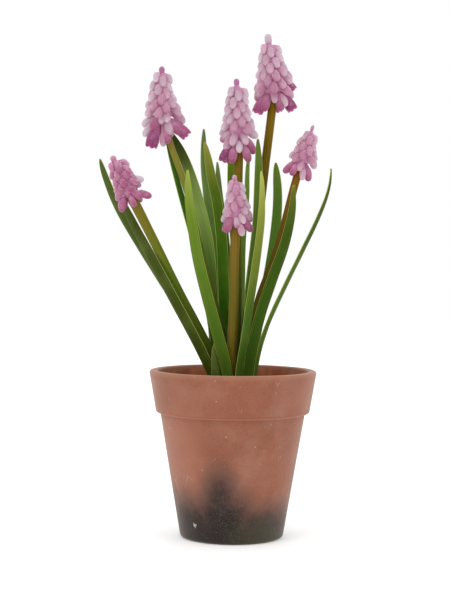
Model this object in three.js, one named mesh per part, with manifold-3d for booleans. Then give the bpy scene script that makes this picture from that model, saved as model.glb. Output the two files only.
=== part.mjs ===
// A grape hyacinth in flower, growing from four bulbs in a small terracotta pot.
// Millimetres, +Z up. The model is built round the pot's axis and then moved so
// that the origin is the middle of the underside of the whole plant's box.
import * as THREE from "three";
import { mergeVertices } from "three/addons/utils/BufferGeometryUtils.js";
import Module from "manifold-3d";

const wasm = await Module();
wasm.setup();

// Pot: a plain rolled band over a tapered body.
const potHeight = 89.3;
const rimRadius = 45;
const bandHeight = 23;
const bandFootRadius = 41.5;
const bodyTopRadius = 38.7;
const footRadius = 28;
const footCorner = 2.7;
const lipRound = 1.6;
const wall = 4.8;
const innerStep = 1.6;
const floorThickness = 6;
const drainRadius = 5.5;
const potSides = 40;

// Soil and bulbs.
const soilLevel = 74;
const soilGap = 0.3;
const soilSides = 20;
const holeGap = 0.45;
const holeFoot = 57.4;
const holeStep = 0.05;
const bulbRadius = 7.2;
const bulbFoot = 35;
const bulbTop = 58;
const bulbSides = 10;
const bulbPlaces = [[-11, 1], [11, 1], [0, -11], [0, 12.5]];

// Plant pieces start just above the bulbs.
const footLevel = 59;
const stemSides = 8;
const stemSteps = 8;
const leafSteps = 10;
const leafThickness = 1.1;
const leafEdge = 0.65;
const leafChannel = 0.2;
const tipWidth = 0.7;
const leafTaper = 9;
const floretSides = 4;
const coreSides = 8;
const jointGap = 0.3;
// Floret rules: degrees from one to the next, degrees below level at the top and
// the bottom of a head and how far these vary, how far the reach and the step
// down vary, how deep a floret sits in the core and how far in from the outline
// its ring lies, as shares of its width, and the length of the lowest ones over
// their width.
const floretTurn = 137.5;
const floretDroop = [80, 44];
const droopCurve = 0.7;
const droopSwing = 8;
const reachSwing = [0.93, 1.06];
const stepSwing = [0.8, 1.2];
const floretSunk = 0.5;
const ringInset = 0.4;
const skirtLength = 1.75;
// A floret's radius at its belly and mouth over its width, the belly's place
// along it, and where its root may be: shares of the core's radius and millimetres.
const floretBelly = 0.5;
const floretMouth = 0.3;
const bellyHeight = 0.5;
const rootReach = 0.35;
const leastReach = 0.3;
const rootRaise = 0.6;
const lowestRoot = 2;
// The closed bud at the top of a head, as [share of its radius, share of its height].
const budProfile = [[0.7, 0], [1, 0.5], [0.6, 0.86], [0, 1]];

// Each flower stalk: the points its middle passes through, and its thickness.
// Each head stands on its stalk. Its outline is [height over the neck, reach to
// the left, reach to the right]. Florets hang round its core in a spiral, over
// the span's heights, and each takes the same room, in square millimetres. Their
// widths and lengths are given at the top and the bottom of the span. The lowest
// florets are placed one by one, as
// [bearing, reach of the tip, height of the tip over the neck, width, droop].
const stalks = [
  {
    thickness: 4.2,
    route: [[-5.6, -0.3, footLevel], [-5.6, -0.3, 84], [-15.2, -0.8, 105], [-29.8, -2.5, 132],
      [-43, -8.5, 158.5], [-54.4, -14, 181]],
    top: [-65.2, -14, 202.9],
    core: 3.6,
    bud: { radius: 1.7, length: 3.2 },
    outline: [[20, 3.8, 4.6], [17, 4.9, 5.8], [11, 5.9, 6.1], [4, 7, 7]],
    span: [19, 3.5], room: 17, width: [3.2, 3.9], length: [5.2, 6.2],
    skirt: [
      [8, 10, 6.4, 3.9, 24], [-8, 9.8, -3.4, 3.9, 42], [196, 8.4, -5, 4.4, 62],
      [-95, 5.2, -5.6, 3.6, 72], [182, 7.6, 1.6, 3.8, 56], [-50, 6.8, -3.6, 3.8, 62],
      [60, 7, -4, 3.8, 60], [105, 6.6, -4.6, 3.8, 62], [150, 7.2, -3.6, 3.8, 60],
    ],
  },
  {
    thickness: 3.6,
    route: [[-3.6, 5.2, footLevel], [-3.6, 5.2, 84], [-5.2, 5.6, 105], [-16.8, 8, 148.2],
      [-26.2, 10.5, 186], [-34.4, 12, 209], [-38.9, 12, 223.5]],
    top: [-40.4, 12, 253.7],
    core: 4.4,
    bud: { radius: 1.65, length: 4.2 },
    outline: [[24.6, 5.4, 5], [17, 7.6, 4.9], [11, 8.4, 7], [5, 9.4, 8.6]],
    span: [24.6, 4], room: 22.5, width: [3.8, 4.7], length: [5.4, 7.6],
    skirt: [
      [178, 12.2, -2, 4.9, 34], [190, 11.6, -7.8, 4.8, 50], [204, 8, -15, 6.4, 74],
      [8, 10.4, 0.5, 5, 52], [0, 13.2, -8.6, 6.4, 46], [-24, 9.4, -7.6, 5, 52],
      [-104, 5.6, -1.8, 3.9, 68], [-70, 6.6, -1.2, 4.6, 62], [-58, 7, -7.6, 4.6, 64],
      [-100, 4.6, -14, 4.2, 78], [-70, 5, -12.6, 4.4, 76], [216, 8.4, -5.6, 5, 62],
      [35, 10, -6, 4.8, 54], [70, 9.4, -8, 4.8, 60], [110, 9, -7, 4.8, 62],
      [150, 10, -8, 4.8, 58],
    ],
  },
  {
    thickness: 5.4,
    route: [[-0.9, -4.4, footLevel], [-0.9, -4.4, 84], [-0.8, -5.8, 100], [-0.1, -9, 124],
      [0.1, -12, 150], [0.8, -13.4, 168]],
    top: [-0.3, -13.4, 193.4],
    core: 3.6,
    bud: { radius: 1.3, length: 3.4 },
    outline: [[21, 4, 3.8], [16, 4.5, 5.6], [11, 5.6, 7.2], [5, 7, 7.8]],
    span: [20.4, 4], room: 18, width: [3.2, 4], length: [5.4, 6.4],
    skirt: [
      [182, 7.4, 0.6, 4.2, 56], [214, 6.6, -6, 4.8, 66], [-84, 5.2, -3, 3.7, 68],
      [-60, 6.4, -7.2, 3.8, 68], [-50, 6.6, -0.6, 3.9, 60], [4, 8.6, 0.4, 4.4, 48],
      [-8, 8.4, -5, 4.4, 56], [40, 7.6, -4, 4, 58], [80, 7, -4.6, 4, 62], [120, 7.2, -4, 4, 60],
      [155, 7.4, -4.6, 4.2, 60],
    ],
  },
  {
    thickness: 5,
    route: [[2.2, 4.2, footLevel], [2.2, 4.2, 84], [1.9, 5.4, 130], [1.8, 6.6, 170],
      [2, 7, 192], [2.3, 7, 211.8]],
    top: [0.4, 7, 246.8],
    core: 4.4,
    bud: { radius: 1.6, length: 4.3 },
    outline: [[28, 5.6, 5.6], [21, 6.8, 5.8], [15, 7.8, 7], [8, 9.6, 8.4]],
    span: [28.2, 6], room: 22.5, width: [3.8, 4.7], length: [5.4, 7.6],
    skirt: [
      [188, 9.2, -9.8, 5.6, 66], [226, 6.8, -11.2, 4.8, 72], [-50, 7.4, -11, 4.8, 70],
      [-10, 8.2, -6.4, 5.2, 62], [-92, 6.4, -5.6, 4, 64], [238, 7.8, -1.6, 4.3, 58],
      [-60, 7.8, -1.4, 4.3, 58], [180, 10, 1, 5, 46], [2, 10.2, 2.4, 5, 40],
      [200, 8.6, -3.4, 4.8, 58], [30, 8.6, -5, 4.8, 60], [68, 8.2, -8, 4.8, 64],
      [108, 8, -7, 4.8, 66], [146, 8.8, -6.4, 4.8, 60],
    ],
  },
  {
    thickness: 5,
    route: [[5.4, 10, footLevel], [5.4, 10, 86], [8.3, 11.5, 126.7], [11.6, 13, 154],
      [16.4, 15, 198], [19.5, 15.5, 225], [20.9, 15.5, 238.6]],
    top: [17.4, 15.5, 272.6],
    core: 4.6,
    bud: { radius: 2.1, length: 6.4 },
    outline: [[26, 5.4, 5.8], [19, 6, 7.8], [12, 7.8, 10], [5, 8.8, 11]],
    span: [26.2, 2], room: 23, width: [3.8, 4.8], length: [5.4, 7.8],
    skirt: [
      [184, 10, -8.8, 5.6, 62], [214, 7.6, -8.6, 5.2, 68], [180, 9.4, -2.4, 5.2, 70],
      [2, 11.2, 1.6, 5.4, 50], [-6, 10.4, -2.8, 4.6, 60], [-10, 11, -9.4, 5.8, 60],
      [-56, 6.4, -9.2, 4.8, 72], [-88, 6.4, -4.6, 4.3, 66], [-40, 8.2, -7, 4.4, 66],
      [40, 9.4, -6.4, 5, 60], [76, 8.8, -8, 5, 64], [112, 8.6, -7, 5, 64],
      [146, 9.6, -8, 5, 60],
    ],
  },
  {
    thickness: 4.6,
    route: [[7.9, -2, footLevel], [7.9, -2, 86], [10, -2.5, 106], [13.6, -3, 127],
      [21.4, -4, 148.6], [27.4, -4.5, 170], [31.3, -4.5, 186], [35.2, -4.5, 200.3]],
    top: [41.8, -4.5, 221],
    core: 3.3,
    bud: { radius: 1, length: 4 },
    outline: [[16, 3.8, 4], [12, 4.8, 5], [7, 5.4, 6.8], [2, 6.6, 7.6]],
    span: [15.6, 1.5], room: 16, width: [3.1, 3.8], length: [5, 6.2],
    skirt: [
      [181, 7.2, -6.8, 4.4, 60], [232, 5.2, -8, 3.9, 70], [0, 8.2, -0.6, 4.2, 56],
      [-16, 7.2, -8, 4.3, 66], [-54, 5.8, -8.6, 3.7, 70], [-88, 4.8, -4.4, 3.7, 66],
      [40, 6.8, -5.4, 3.9, 60], [80, 6.4, -6.4, 3.9, 64], [120, 6.4, -5.6, 3.9, 64],
      [152, 6.8, -6, 3.9, 62],
    ],
  },
];

// Each leaf: the points its middle passes through, its width, the bearings that its
// hollow face looks to at the foot and at the tip, and a taper where its tip is
// longer or blunter than the others'.
const leaves = [
  { width: 5, taper: 14, faces: [30, 62], route: [[-10.2, 1.8, footLevel], [-11, 2, 82],
    [-23, 2.8, 112], [-38, 3, 135], [-51, 3.2, 155.6], [-63.2, 4, 176.5], [-70.6, 5, 194],
    [-73.4, 5.4, 202.4]] },
  { width: 5.8, faces: [70, 62], route: [[-10.6, -5.8, footLevel], [-10.7, -5.8, 84],
    [-15, -6.8, 95.4], [-36, -9.6, 134.7], [-54.5, -5, 168.2], [-61.2, -1.5, 181.5]] },
  { width: 3.9, faces: [290, 300], route: [[-9.4, 5.9, footLevel], [-9.4, 5.9, 86], [-10.6, 6.8, 102.5],
    [-12.3, 7.9, 113], [-19.4, 11.2, 148], [-28.6, 13.6, 181], [-35.2, 15.6, 204],
    [-37.8, 16.4, 213]] },
  { width: 6.6, taper: 11, faces: [270, 282], route: [[-9.4, 9.6, footLevel], [-9.2, 9.8, 84],
    [-11.9, 13, 130], [-14.7, 15.4, 159], [-21, 19.8, 184], [-27.6, 23.6, 203], [-35.6, 27, 219]] },
  { width: 6.2, taper: 6, faces: [90, 80], route: [[-2.9, -9.4, footLevel], [-2.9, -9.4, 86],
    [-7.6, -11.4, 106], [-13.6, -14, 127], [-19, -16.6, 148.2], [-22, -18.4, 165], [-24.2, -20.4, 180], [-25, -22, 195.3]] },
  { width: 5.4, faces: [285, 300], route: [[-5.4, 13.4, footLevel], [-5.2, 14.2, 90],
    [-8.2, 19.6, 126.3], [-10.9, 22.4, 148], [-14.8, 25.4, 181], [-17, 27, 200], [-17.6, 28, 221]] },
  { width: 6.4, faces: [268, 258], route: [[-2.4, 10.2, footLevel], [-2.4, 10.4, 88], [-5.1, 15.6, 126],
    [-6.7, 18, 159], [-9.6, 19.4, 181], [-12.3, 20.4, 192.2], [-16.6, 22, 213.5]] },
  { width: 5.2, faces: [98, 98], route: [[-8.6, -8.4, footLevel], [-8.8, -8.4, 84],
    [-9.3, -8.5, 95], [-9.2, -8.7, 105.2]] },
  { width: 4.4, faces: [300, 285], route: [[-0.4, 15.8, footLevel], [-0.6, 16, 90], [-3.2, 20, 142.8],
    [-5.6, 23, 167], [-8.2, 25.6, 184.3], [-9.8, 27, 202.6]] },
  { width: 5, faces: [270, 266], route: [[5, 17.6, footLevel], [5, 18.6, 92], [1.6, 24.5, 142],
    [-1.2, 29, 181], [-1.8, 31, 198], [-1.4, 32, 222]] },
  { width: 4.6, faces: [322, 318], route: [[2.2, 12.8, footLevel], [2.4, 13.2, 90], [4.4, 16.8, 130],
    [4.9, 19.4, 160], [6.6, 22.6, 183], [6.9, 23.6, 198], [7.6, 24, 209.3]] },
  { width: 5.4, faces: [6, -95], route: [[6.2, 3.8, footLevel], [6.2, 3.8, 88], [7.6, 3.4, 131],
    [10, 2.2, 151], [12.1, 0.9, 171], [12.7, -0.4, 200], [12.2, -1, 213.6]] },
  { width: 5.2, taper: 6, faces: [128, 118], route: [[3.1, -10, footLevel], [3.1, -10, 86],
    [6.2, -11.4, 107], [9, -13.6, 128], [12, -16, 149.6], [14, -18, 168], [14.5, -19.4, 185], [14, -20.4, 195.2]] },
  { width: 5.6, taper: 14, faces: [250, 262], route: [[10, 4.4, footLevel], [10, 4.4, 86],
    [14.2, 6.4, 118], [19.6, 9, 144.2], [23, 11, 169.3], [23.6, 12, 185], [22.4, 12.6, 201.7]] },
  { width: 6, taper: 6, faces: [100, 100], route: [[8.3, -6.9, footLevel], [8.3, -6.9, 88],
    [13.8, -9.2, 117.7], [20.2, -11.6, 138], [26.8, -13.6, 157.6], [30.4, -14.4, 175], [31.2, -14.6, 188.4]] },
  { width: 5, faces: [150, 156], route: [[12.2, -1.6, footLevel], [12.2, -2.2, 88], [17.2, -5, 110.6],
    [26.5, -7.6, 132.6], [36.4, -9.6, 153.5], [46.4, -10.6, 175.4], [50.4, -11, 188], [51.5, -11, 197.4]] },
];

const terracotta = new THREE.MeshStandardMaterial({ color: 0xa5694f, roughness: 0.9, metalness: 0 });
const earth = new THREE.MeshStandardMaterial({ color: 0x3a2b20, roughness: 1, metalness: 0 });
const bulbSkin = new THREE.MeshStandardMaterial({ color: 0xc9b08a, roughness: 0.7, metalness: 0 });
const stalkGreen = new THREE.MeshStandardMaterial({ color: 0x6b6322, roughness: 0.6, metalness: 0 });
const leafGreen = new THREE.MeshStandardMaterial({ color: 0x4f7030, roughness: 0.55, metalness: 0 });
const petalPink = new THREE.MeshStandardMaterial({ color: 0xc78ab2, roughness: 0.6, metalness: 0 });

const radians = THREE.MathUtils.degToRad;
const point = (values) => new THREE.Vector3(...values);
const plan = (values) => new THREE.Vector2(...values);

// A small repeatable source of numbers between 0 and 1.
function numbersFrom(seed) {
  let state = seed;
  return () => {
    state = (state * 1664525 + 1013904223) % 4294967296;
    return state / 4294967296;
  };
}

function lerp(from, to, share) {
  return THREE.MathUtils.lerp(from, to, share);
}

// Keeps only positions and shared corners, which is what a solid needs.
function bare(geometry) {
  geometry.deleteAttribute("normal");
  geometry.deleteAttribute("uv");
  return mergeVertices(geometry, 1e-4);
}

function solidOf(geometry) {
  const vertProperties = new Float32Array(geometry.attributes.position.array);
  const triVerts = new Uint32Array(geometry.index.array);
  return new wasm.Manifold(new wasm.Mesh({ numProp: 3, vertProperties, triVerts }));
}

// The largest closed body of a solid: sealed hollows and loose scraps are left out.
function geometryOf(solid) {
  const bodies = solid.decompose().sort((a, b) => b.volume() - a.volume());
  const mesh = bodies[0].getMesh();
  const geometry = new THREE.BufferGeometry();
  const position = new THREE.BufferAttribute(new Float32Array(mesh.vertProperties), 3);
  geometry.setAttribute("position", position);
  geometry.setIndex(new THREE.BufferAttribute(new Uint32Array(mesh.triVerts), 1));
  geometry.computeVertexNormals();
  return geometry;
}

// A shape turned about the Z axis from [radius, height] points.
function turned(profile, sides) {
  const geometry = new THREE.LatheGeometry(profile.map(plan), sides);
  geometry.rotateX(Math.PI / 2);
  return bare(geometry);
}

// Points on a quarter round from one bearing to another.
function arc(centre, radius, from, to, steps) {
  const points = [];
  for (let i = 0; i <= steps; i += 1) {
    const angle = radians(from + ((to - from) * i) / steps);
    points.push([centre[0] + radius * Math.cos(angle), centre[1] + radius * Math.sin(angle)]);
  }
  return points;
}

// The pot's inner wall radius at a height.
function insideRadius(z) {
  const bandFoot = potHeight - bandHeight;
  if (z > bandFoot) {
    const shoulder = bodyTopRadius - wall + innerStep;
    return THREE.MathUtils.mapLinear(z, bandFoot, potHeight, shoulder, rimRadius - wall);
  }
  const corner = footRadius - wall + 1;
  return THREE.MathUtils.mapLinear(z, floorThickness, bandFoot, corner, bodyTopRadius - wall);
}

function pot() {
  const bandFoot = potHeight - bandHeight;
  const profile = [
    [drainRadius, 0],
    ...arc([footRadius - footCorner, footCorner], footCorner, -90, -6, 2),
    [bodyTopRadius, bandFoot],
    [bandFootRadius - 1, bandFoot],
    [bandFootRadius, bandFoot + 1.2],
    ...arc([rimRadius - lipRound, potHeight - lipRound], lipRound, 4, 90, 2),
    ...arc([rimRadius - wall + lipRound, potHeight - lipRound], lipRound, 90, 176, 2),
    [insideRadius(bandFoot + 1), bandFoot + 1],
    [insideRadius(bandFoot - 2), bandFoot - 2],
    [insideRadius(floorThickness), floorThickness],
    [drainRadius, floorThickness],
    [drainRadius, 0],
  ];
  return turned(profile, potSides);
}

function bulbShape(place, grow) {
  const profile = [
    [0, bulbFoot - grow],
    [3 + grow, bulbFoot - grow],
    [6.2 + grow, bulbFoot + 3.5 - grow / 2],
    [bulbRadius + grow, bulbFoot + 9],
    [6.5 + grow, bulbFoot + 14.5],
    [4.4 + grow, bulbFoot + 19.5],
    [3 + grow, bulbTop + grow],
    [0, bulbTop + grow],
  ];
  const geometry = turned(profile, bulbSides);
  geometry.translate(place[0], place[1], 0);
  return geometry;
}

// How far along a route (0 to 1) it first reaches a height.
function reaches(curve, height) {
  let along = 0;
  while (along < 1 && curve.getPointAt(along).z < height) {
    along += 0.005;
  }
  return along;
}

// A frame at a place along a route: across the blade, out of its hollow face, and the place.
function frameAt(curve, along, faces) {
  const place = curve.getPointAt(along);
  const tangent = curve.getTangentAt(along);
  const bearing = radians(lerp(faces[0], faces[1], along));
  const looks = new THREE.Vector3(Math.cos(bearing), Math.sin(bearing), 0);
  const across = new THREE.Vector3().crossVectors(looks, tangent).normalize();
  const out = new THREE.Vector3().crossVectors(tangent, across).normalize();
  return { place, across, out };
}

// Bends a shape that runs along +Z from 0 to 1 onto a route. size gives the
// width and depth there, and the shape's own x and y are in those units.
function bent(geometry, curve, faces, span, size) {
  const position = geometry.attributes.position;
  for (let i = 0; i < position.count; i += 1) {
    const part = THREE.MathUtils.clamp(position.getZ(i), 0, 1);
    const along = lerp(span[0], span[1], 1 - (1 - part) ** size.crowding);
    const { place, across, out } = frameAt(curve, along, faces);
    const [width, depth] = size.at(along);
    place.addScaledVector(across, position.getX(i) * width);
    place.addScaledVector(out, position.getY(i) * depth);
    position.setXYZ(i, place.x, place.y, place.z);
  }
  return geometry;
}

function rod(sides, steps) {
  const geometry = new THREE.CylinderGeometry(1, 1, 1, sides, steps);
  geometry.rotateX(Math.PI / 2);
  geometry.translate(0, 0, 0.5);
  return bare(geometry);
}

const routeOf = (piece) => new THREE.CatmullRomCurve3(piece.route.map(point));

function stalk(piece) {
  const half = piece.thickness / 2;
  const size = { crowding: 1, at: () => [half, half] };
  return bent(rod(stemSides, stemSteps), routeOf(piece), [0, 0], [0, 1], size);
}

// A blade's width at a place along it: slim at the foot, full in the middle, pointed at the tip.
function bladeWidth(leaf, along) {
  const swell = Math.min(1, 0.78 + 0.7 * along);
  return Math.max(tipWidth, leaf.width * swell * Math.sqrt(1 - along ** (leaf.taper ?? leafTaper)));
}

// A channelled strap: the outer face has a keel and the inner face is hollow.
function blade(leaf) {
  const section = new THREE.Shape([
    [-0.5, 0], [0, -1], [0.5, 0], [0.5, leafEdge], [0, leafThickness - 1], [-0.5, leafEdge],
  ].map(plan));
  const options = { depth: 1, steps: leafSteps, bevelEnabled: false };
  const geometry = bare(new THREE.ExtrudeGeometry(section, options));
  const position = geometry.attributes.position;
  const sides = position.array.slice();
  const unbent = [];
  for (let i = 0; i < position.count; i += 1) {
    unbent.push([sides[3 * i], sides[3 * i + 1]]);
  }
  const curve = routeOf(leaf);
  for (let i = 0; i < position.count; i += 1) {
    const along = 1 - (1 - position.getZ(i)) ** 1.5;
    const { place, across, out } = frameAt(curve, along, leaf.faces);
    const width = bladeWidth(leaf, along);
    const keel = leafChannel * width;
    const [x, y] = unbent[i];
    const middle = x === 0;
    const height = middle ? (y === -1 ? -keel : leafThickness - keel) : y;
    place.addScaledVector(across, x * width);
    place.addScaledVector(out, height);
    position.setXYZ(i, place.x, place.y, place.z);
  }
  return geometry;
}

// A plain hole in the soil round the foot of a stalk or a leaf, down to the bulbs.
// Each hole ends a little deeper than the last, so that no two share a level.
function footHole(piece, i) {
  const [x, y] = piece.route[0];
  const curve = routeOf({ route: [[x, y, holeFoot - holeStep * i], ...piece.route] });
  const span = [0, reaches(curve, soilLevel + 5)];
  const round = Boolean(piece.thickness);
  const width = round ? piece.thickness : bladeWidth(piece, reaches(routeOf(piece), soilLevel + 1));
  const half = width / 2 + holeGap;
  const depth = round ? half : leafThickness + holeGap;
  const bore = round ? rod(6, 1) : bare(new THREE.BoxGeometry(2, 2, 1).translate(0, 0, 0.5));
  const slack = round ? 1.12 : 1;
  const size = { crowding: 1, at: () => [half * slack, depth * slack] };
  return solidOf(bent(bore, curve, piece.faces ?? [0, 0], span, size));
}

// Soil that fills the pot, with a gently uneven top and holes for what grows in it.
function soil() {
  const bottom = floorThickness + soilGap;
  const profile = [
    [0, bottom],
    [insideRadius(bottom) - soilGap, bottom],
    [insideRadius(potHeight - bandHeight - 2) - soilGap, potHeight - bandHeight - 2],
    [insideRadius(soilLevel - 1) - soilGap, soilLevel - 1],
    [33, soilLevel - 0.4],
    [24, soilLevel],
    [14, soilLevel + 0.5],
    [0, soilLevel + 1],
  ];
  const geometry = turned(profile, soilSides);
  const position = geometry.attributes.position;
  for (let i = 0; i < position.count; i += 1) {
    const [x, y, z] = [position.getX(i), position.getY(i), position.getZ(i)];
    if (z > soilLevel - 0.5) {
      position.setZ(i, z + 0.5 * Math.sin(0.41 * x + 1) * Math.cos(0.37 * y) + 0.3 * Math.sin(x + y));
    }
  }
  let solid = solidOf(geometry);
  for (const place of bulbPlaces) {
    solid = solid.subtract(solidOf(bulbShape(place, holeGap)));
  }
  [...stalks, ...leaves].forEach((piece, i) => {
    solid = solid.subtract(footHole(piece, i));
  });
  return geometryOf(solid);
}

// One floret: a drop that widens from its root to its belly and closes to a blunt
// mouth. It hangs from start to end, and its root reaches back into the core.
function floret(root, start, end, width) {
  const lie = end.clone().sub(start);
  const length = lie.length();
  const profile = [
    [0, 0],
    [floretBelly * width, bellyHeight * length],
    [floretMouth * width, length],
    [0, length],
  ];
  const shape = bare(new THREE.LatheGeometry(profile.map(plan), floretSides));
  const position = shape.getAttribute("position");
  const down = new THREE.Quaternion().setFromUnitVectors(new THREE.Vector3(0, 1, 0), lie.normalize());
  for (let i = 0; i < position.count; i += 1) {
    const corner = new THREE.Vector3().fromBufferAttribute(position, i);
    const place = corner.y === 0 ? root : corner.applyQuaternion(down).add(start);
    position.setXYZ(i, place.x, place.y, place.z);
  }
  return shape;
}

// How far a head reaches at a height, between its left and its right outline.
function reachAt(head, bearing, height) {
  const next = head.outline.findIndex(([level]) => level <= height);
  const lower = next < 0 ? head.outline.length - 1 : Math.max(next, 1);
  const [above, below] = [head.outline[lower - 1], head.outline[lower]];
  const share = THREE.MathUtils.clamp((above[0] - height) / (above[0] - below[0]), 0, 1);
  const left = lerp(above[1], below[1], share);
  const right = lerp(above[2], below[2], share);
  return (left + right) / 2 + ((right - left) / 2) * Math.cos(radians(bearing));
}

// All the florets of a head, as [bearing, reach and height of the tip, width, droop, length].
function floretsOf(head, seed) {
  const next = numbersFrom(seed);
  const [top, low] = head.span;
  const places = [];
  let bearing = 360 * next();
  for (let height = top; height > low;) {
    const down = (top - height) / (top - low);
    const width = lerp(...head.width, down);
    const length = lerp(...head.length, down);
    const around = 2 * Math.PI * (reachAt(head, 90, height) - ringInset * width);
    const reach = reachAt(head, bearing, height) * lerp(...reachSwing, next());
    const droop = lerp(...floretDroop, down ** droopCurve) + droopSwing * (2 * next() - 1);
    const fall = radians(droop);
    const tipReach = reach - (width / 2) * Math.sin(fall) + (length / 2) * Math.cos(fall);
    places.push([bearing, tipReach, height - (length / 2) * Math.sin(fall), width, droop, length]);
    height -= (head.room / around) * lerp(...stepSwing, next());
    bearing += floretTurn;
  }
  return [...places, ...head.skirt.map((place) => [...place, skirtLength * place[3]])];
}

function head(piece, seed) {
  const neck = point(piece.route.at(-1));
  const axis = point(piece.top).sub(neck);
  const height = axis.length();
  axis.normalize();
  const right = new THREE.Vector3(0, 1, 0).cross(axis).normalize();
  const back = new THREE.Vector3().crossVectors(axis, right);
  const coreTop = height - piece.bud.length + 1;
  const stemHalf = piece.thickness / 2;
  const [top, low] = piece.span;
  const coreProfile = [[0, 0], [stemHalf, 0]];
  for (const share of [0, 0.5, 1]) {
    const level = lerp(low, top, share);
    const sunk = floretSunk * lerp(...piece.width, 1 - share);
    coreProfile.push([reachAt(piece, 90, level) - sunk, level]);
  }
  for (const [wide, up] of budProfile) {
    coreProfile.push([wide * piece.bud.radius, lerp(coreTop, height, up)]);
  }
  const stand = new THREE.Quaternion().setFromUnitVectors(new THREE.Vector3(0, 1, 0), axis);
  const core = bare(new THREE.LatheGeometry(coreProfile.map(plan), coreSides));
  core.applyQuaternion(stand).translate(neck.x, neck.y, neck.z);
  let solid = solidOf(core);
  const at = (outward, reach, level) =>
    neck.clone().addScaledVector(outward, reach).addScaledVector(axis, level);
  for (const [bearing, reach, tip, width, droop, length] of floretsOf(piece, seed)) {
    const outward = right.clone().applyAxisAngle(axis, radians(bearing));
    const rise = length * Math.sin(radians(droop));
    const startReach = Math.max(reach - length * Math.cos(radians(droop)), leastReach * piece.core);
    const level = THREE.MathUtils.clamp(tip + rise + rootRaise, lowestRoot, coreTop);
    const start = at(outward, startReach, tip + rise);
    const inside = reachAt(piece, bearing, tip + rise) - floretSunk * width - jointGap;
    const deep = startReach < inside && tip + rise < coreTop && tip + rise > low;
    const root = deep ? start : at(outward, rootReach * piece.core, level);
    solid = solid.add(solidOf(floret(root, start, at(outward, reach, tip), width)));
  }
  const stalkRoom = { route: piece.route, thickness: piece.thickness + 2 * jointGap };
  const joint = rod(stemSides, 1).translate(0, 0, -0.5);
  joint.scale(stemHalf + jointGap, stemHalf + jointGap, 2 * jointGap);
  const leaning = routeOf(piece).getTangentAt(1);
  joint.applyQuaternion(new THREE.Quaternion().setFromUnitVectors(new THREE.Vector3(0, 0, 1), leaning));
  joint.translate(neck.x, neck.y, neck.z);
  return geometryOf(solid.subtract(solidOf(stalk(stalkRoom))).subtract(solidOf(joint)));
}

const plant = new THREE.Group();
const group = new THREE.Group();
group.add(plant);

function addPiece(name, geometry, material) {
  const mesh = new THREE.Mesh(geometry, material);
  mesh.name = name;
  plant.add(mesh);
}

addPiece("pot", pot(), terracotta);
addPiece("soil", soil(), earth);
bulbPlaces.forEach((place, i) => addPiece(`bulb_${i + 1}`, bulbShape(place, 0), bulbSkin));
stalks.forEach((piece, i) => {
  addPiece(`stem_${i + 1}`, stalk(piece), stalkGreen);
  addPiece(`head_${i + 1}`, head(piece, 11 + i), petalPink);
});
leaves.forEach((leaf, i) => {
  addPiece(`leaf_${String(i + 1).padStart(2, "0")}`, blade(leaf), leafGreen);
});

// The origin is under the middle of the box round the pot and the plant.
const middle = new THREE.Box3().setFromObject(plant).getCenter(new THREE.Vector3());
plant.position.set(-middle.x, -middle.y, 0);

export default group;
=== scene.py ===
# A pink grape hyacinth in a small terracotta pot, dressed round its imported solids.
import math
import random

import bpy
from mathutils import Matrix, Vector, noise


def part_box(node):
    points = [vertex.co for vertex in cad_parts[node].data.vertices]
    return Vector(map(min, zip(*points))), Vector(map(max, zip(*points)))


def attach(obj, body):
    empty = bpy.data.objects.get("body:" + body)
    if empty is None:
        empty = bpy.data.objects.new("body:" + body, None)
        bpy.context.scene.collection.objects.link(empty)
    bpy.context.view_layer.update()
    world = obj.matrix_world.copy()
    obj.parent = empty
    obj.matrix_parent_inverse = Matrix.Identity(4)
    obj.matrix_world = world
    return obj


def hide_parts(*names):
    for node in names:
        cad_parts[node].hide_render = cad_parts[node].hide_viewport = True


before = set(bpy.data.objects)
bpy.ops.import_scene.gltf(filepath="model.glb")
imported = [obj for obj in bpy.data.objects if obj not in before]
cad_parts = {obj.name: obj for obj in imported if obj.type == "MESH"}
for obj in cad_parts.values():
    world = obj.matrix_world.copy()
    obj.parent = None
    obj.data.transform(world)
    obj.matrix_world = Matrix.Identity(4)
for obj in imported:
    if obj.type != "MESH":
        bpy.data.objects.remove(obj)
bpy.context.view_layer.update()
mm = 0.001
scene = bpy.context.scene

potLow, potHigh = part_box("pot")
potAxis = Vector(((potLow.x + potHigh.x) / 2, (potLow.y + potHigh.y) / 2, 0))


def tone(code):
    # a hex colour as linear red, green, blue and alpha
    parts = [int(code[i : i + 2], 16) / 255 for i in (0, 2, 4)]
    return [p / 12.92 if p < 0.04045 else ((p + 0.055) / 1.055) ** 2.4 for p in parts] + [1.0]


def lerp(a, b, share):
    return a + (b - a) * share


def blend(first, second, share):
    return [lerp(a, b, share) for a, b in zip(first, second)]


def clamp(value, low, high):
    return max(low, min(high, value))


def only(*pieces):
    # these pieces alone are selected, and the first is active
    bpy.ops.object.select_all(action="DESELECT")
    for piece in pieces:
        piece.select_set(True)
    bpy.context.view_layer.objects.active = pieces[0]


def added(add, **settings):
    # a mesh made by a command, with its placing worked in
    bpy.ops.object.select_all(action="DESELECT")
    add(**settings)
    bpy.ops.object.transform_apply(location=True, rotation=True, scale=True)
    return bpy.context.object


def mode(name):
    bpy.ops.object.mode_set(mode=name)


def twin(piece):
    copy = bpy.data.objects.new(piece.name, piece.data.copy())
    scene.collection.objects.link(copy)
    return copy


def widen(vertex, by):
    vertex.co.x *= by
    vertex.co.y *= by


def applyAll(piece):
    only(piece)
    for modifier in list(piece.modifiers):
        bpy.ops.object.modifier_apply(modifier=modifier.name)


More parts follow.
